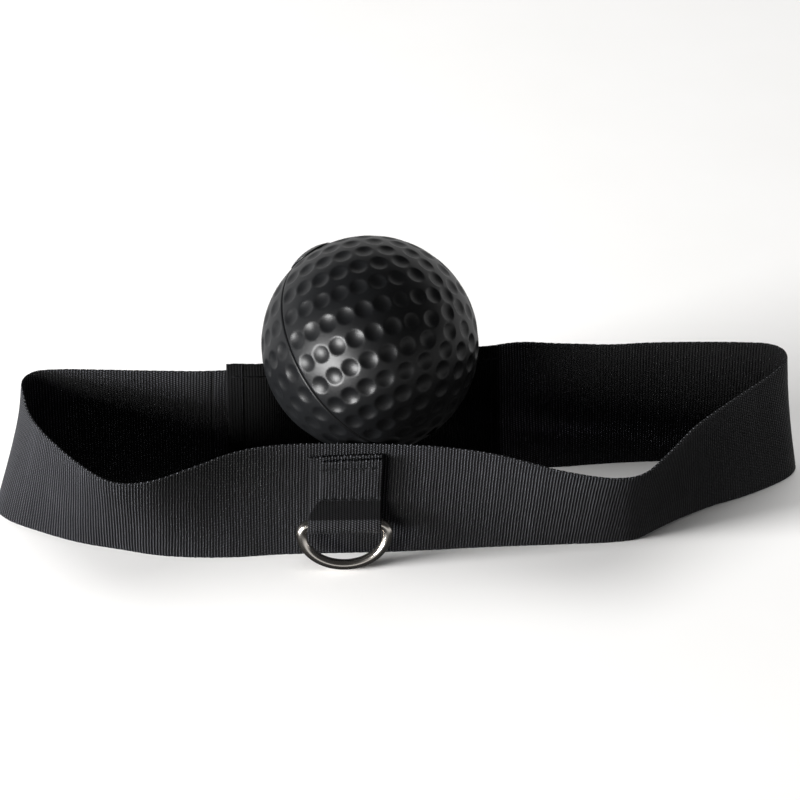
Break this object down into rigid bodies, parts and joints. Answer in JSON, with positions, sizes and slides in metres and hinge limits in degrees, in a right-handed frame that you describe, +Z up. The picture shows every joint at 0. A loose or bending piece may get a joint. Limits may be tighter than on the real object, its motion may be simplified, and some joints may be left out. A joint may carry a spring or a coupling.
{
  "type": "reflex ball headband",
  "caption": "Webbing headband with a hook-and-loop closure and a sewn D-ring tab, with a dimpled foam reflex ball resting on its upper edges.",
  "frame": {"origin": "middle of the base, on the surface that the band's lower edge stands on", "axes": "+Z up, +X along the band's long way, the D-ring faces -Y"},
  "size_m": [0.227, 0.0716, 0.0822],
  "materials": {
    "webbing": "satin",
    "tape": "matte",
    "thread": "satin",
    "nickel_plate": "polished",
    "ball_foam": "satin",
    "stop_plastic": "satin"
  },
  "bodies": {
    "headband": {"headband_webbing": "webbing", "loop_tape": "tape", "loop_stitches_upper": "thread", "loop_stitches_lower": "thread", "loop_stitches_first": "thread", "loop_stitches_last": "thread", "ring_tab": "webbing", "tab_stitches_upper": "thread", "tab_stitches_lower": "thread"},
    "closure_flap": {"closure_flap_webbing": "webbing", "hook_tape": "tape", "hook_stitches_upper": "thread", "hook_stitches_lower": "thread", "hook_stitches_first": "thread", "hook_stitches_last": "thread"},
    "ring": {"d_ring": "nickel_plate"},
    "ball": {"ball_moulding_right": "ball_foam", "ball_moulding_left": "ball_foam", "cord_stop": "stop_plastic"}
  },
  "joints": [
    {"name": "flap_peel", "type": "hinge", "parent": "headband", "child": "closure_flap", "pos_m": [-0.05297, 0.01088, 0], "axis": [0.0311, 0.1025, 0.9942], "range_deg": [0, 110]},
    {"name": "ring_swing", "type": "hinge", "parent": "headband", "child": "ring", "pos_m": [-0.01503, -0.02436, 0.01316], "axis": [-0.9995, -0.0324, 0], "range_deg": [-20, 150]},
    {"name": "ball_lift", "type": "slide", "parent": "headband", "child": "ball", "axis": [0, 0, 1], "range_m": [0, 0.09]}
  ]
}
